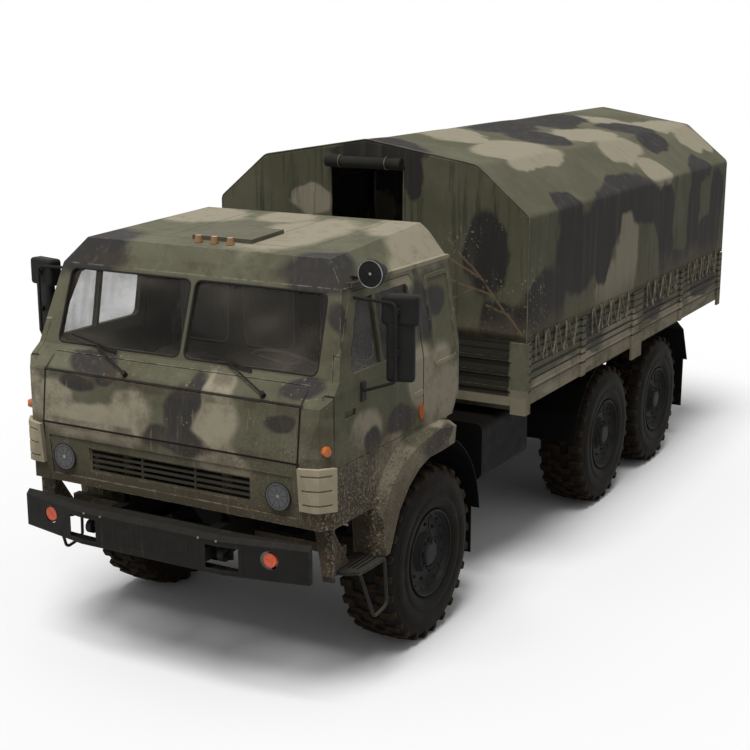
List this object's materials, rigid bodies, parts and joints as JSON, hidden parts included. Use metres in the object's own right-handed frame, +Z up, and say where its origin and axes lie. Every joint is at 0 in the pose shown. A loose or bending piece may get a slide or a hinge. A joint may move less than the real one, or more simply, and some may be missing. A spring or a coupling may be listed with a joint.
{
  "type": "six-wheeled military cargo truck",
  "caption": "Cab-over off-road cargo truck with camouflage paint, a tilting cab and a canvas-covered load bed with a drop tailgate.",
  "frame": {"origin": "on the ground under the middle of the whole truck", "axes": "+X is the truck's left, +Y its rear, +Z up"},
  "size_m": [3.0464, 7.81, 3.2738],
  "materials": {
    "camouflage_paint": "matt camouflage",
    "dark_olive_paint": "matt",
    "black_paint": "worn matt",
    "sand_paint": "matt",
    "lamp_plastic": "gloss",
    "canvas": "woven, matt",
    "bow_steel": "matt",
    "bench_wood": "painted, worn",
    "cab_glass": "clear, dusty",
    "seat_vinyl": "satin",
    "dash_plastic": "matt",
    "tyre_rubber": "dusty",
    "rim_paint": "worn matt"
  },
  "bodies": {
    "chassis": {"frame": "black_paint", "front_bumper": "black_paint", "chassis_lamps": "lamp_plastic", "tow_hooks": "black_paint", "powertrain": "black_paint", "front_axle": "black_paint", "bogie_axles": "black_paint", "leaf_springs": "black_paint", "trunnion": "black_paint", "fuel_tank": "dark_olive_paint", "battery_box": "dark_olive_paint", "mudguards": "dark_olive_paint", "steps": "dark_olive_paint", "bed_floor": "camouflage_paint", "bed_boards": "camouflage_paint", "canvas_cover": "canvas", "canvas_ends": "canvas", "canvas_bows": "bow_steel", "benches": "bench_wood"},
    "tailgate": {"tailgate": "camouflage_paint"},
    "cab": {"cab_floor": "camouflage_paint", "cab_back": "camouflage_paint", "cab_sides": "camouflage_paint", "cab_roof": "camouflage_paint", "cab_front": "camouflage_paint", "grille": "sand_paint", "windscreen": "cab_glass", "cab_lamps": "lamp_plastic", "search_lamp": "black_paint", "cab_flares": "camouflage_paint", "wipers": "black_paint", "seats": "seat_vinyl", "dashboard": "dash_plastic"},
    "door_left": {"door_left": "camouflage_paint", "door_glass_left": "cab_glass", "mirror_left": "black_paint"},
    "door_right": {"door_right": "camouflage_paint", "door_glass_right": "cab_glass", "mirror_right": "black_paint"},
    "hood_flap": {"hood_flap": "camouflage_paint"},
    "roof_hatch": {"roof_hatch": "dark_olive_paint"},
    "knuckle_left": {"knuckle_left": "black_paint"},
    "knuckle_right": {"knuckle_right": "black_paint"},
    "wheel_front_left": {"tyre_front_left": "tyre_rubber", "rim_front_left": "rim_paint"},
    "wheel_front_right": {"tyre_front_right": "tyre_rubber", "rim_front_right": "rim_paint"},
    "wheel_middle_left": {"tyre_middle_left": "tyre_rubber", "rim_middle_left": "rim_paint"},
    "wheel_middle_right": {"tyre_middle_right": "tyre_rubber", "rim_middle_right": "rim_paint"},
    "wheel_rear_left": {"tyre_rear_left": "tyre_rubber", "rim_rear_left": "rim_paint"},
    "wheel_rear_right": {"tyre_rear_right": "tyre_rubber", "rim_rear_right": "rim_paint"}
  },
  "joints": [
    {"name": "cab_tilt", "type": "hinge", "parent": "chassis", "child": "cab", "pos_m": [0, -3.595, 1.15], "axis": [1, 0, 0], "range_deg": [0, 50]},
    {"name": "door_left_swing", "type": "hinge", "parent": "cab", "child": "door_left", "pos_m": [1.177, -3.5972, 1.9], "axis": [0, 0, -1], "range_deg": [0, 70]},
    {"name": "door_right_swing", "type": "hinge", "parent": "cab", "child": "door_right", "pos_m": [-1.177, -3.5972, 1.9], "axis": [0, 0, 1], "range_deg": [0, 70]},
    {"name": "hood_flap_lift", "type": "hinge", "parent": "cab", "child": "hood_flap", "pos_m": [0, -3.674, 1.8997], "axis": [-1, 0, 0], "range_deg": [0, 100]},
    {"name": "roof_hatch_lift", "type": "hinge", "parent": "cab", "child": "roof_hatch", "pos_m": [0, -2.66, 2.76632], "axis": [-1, 0, 0], "range_deg": [0, 60]},
    {"name": "tailgate_drop", "type": "hinge", "parent": "chassis", "child": "tailgate", "pos_m": [0, 3.893, 1.388], "axis": [-1, 0, 0], "range_deg": [0, 90]},
    {"name": "steer_left", "type": "hinge", "parent": "chassis", "child": "knuckle_left", "pos_m": [0.951, -2.405, 0.61], "axis": [0, 0, 1], "range_deg": [-30, 30]},
    {"name": "steer_right", "type": "hinge", "parent": "chassis", "child": "knuckle_right", "pos_m": [-0.951, -2.405, 0.61], "axis": [0, 0, 1], "range_deg": [-30, 30]},
    {"name": "wheel_front_left_spin", "type": "hinge", "parent": "knuckle_left", "child": "wheel_front_left", "pos_m": [1.035, -2.405, 0.61], "axis": [1, 0, 0], "continuous": true},
    {"name": "wheel_front_right_spin", "type": "hinge", "parent": "knuckle_right", "child": "wheel_front_right", "pos_m": [-1.035, -2.405, 0.61], "axis": [1, 0, 0], "continuous": true},
    {"name": "wheel_middle_left_spin", "type": "hinge", "parent": "chassis", "child": "wheel_middle_left", "pos_m": [1.035, 0.935, 0.61], "axis": [1, 0, 0], "continuous": true},
    {"name": "wheel_middle_right_spin", "type": "hinge", "parent": "chassis", "child": "wheel_middle_right", "pos_m": [-1.035, 0.935, 0.61], "axis": [1, 0, 0], "continuous": true},
    {"name": "wheel_rear_left_spin", "type": "hinge", "parent": "chassis", "child": "wheel_rear_left", "pos_m": [1.035, 2.325, 0.61], "axis": [1, 0, 0], "continuous": true},
    {"name": "wheel_rear_right_spin", "type": "hinge", "parent": "chassis", "child": "wheel_rear_right", "pos_m": [-1.035, 2.325, 0.61], "axis": [1, 0, 0], "continuous": true}
  ],
  "couplings": [
    {"joint": "steer_right", "follows": "steer_left", "ratio": 1}
  ]
}
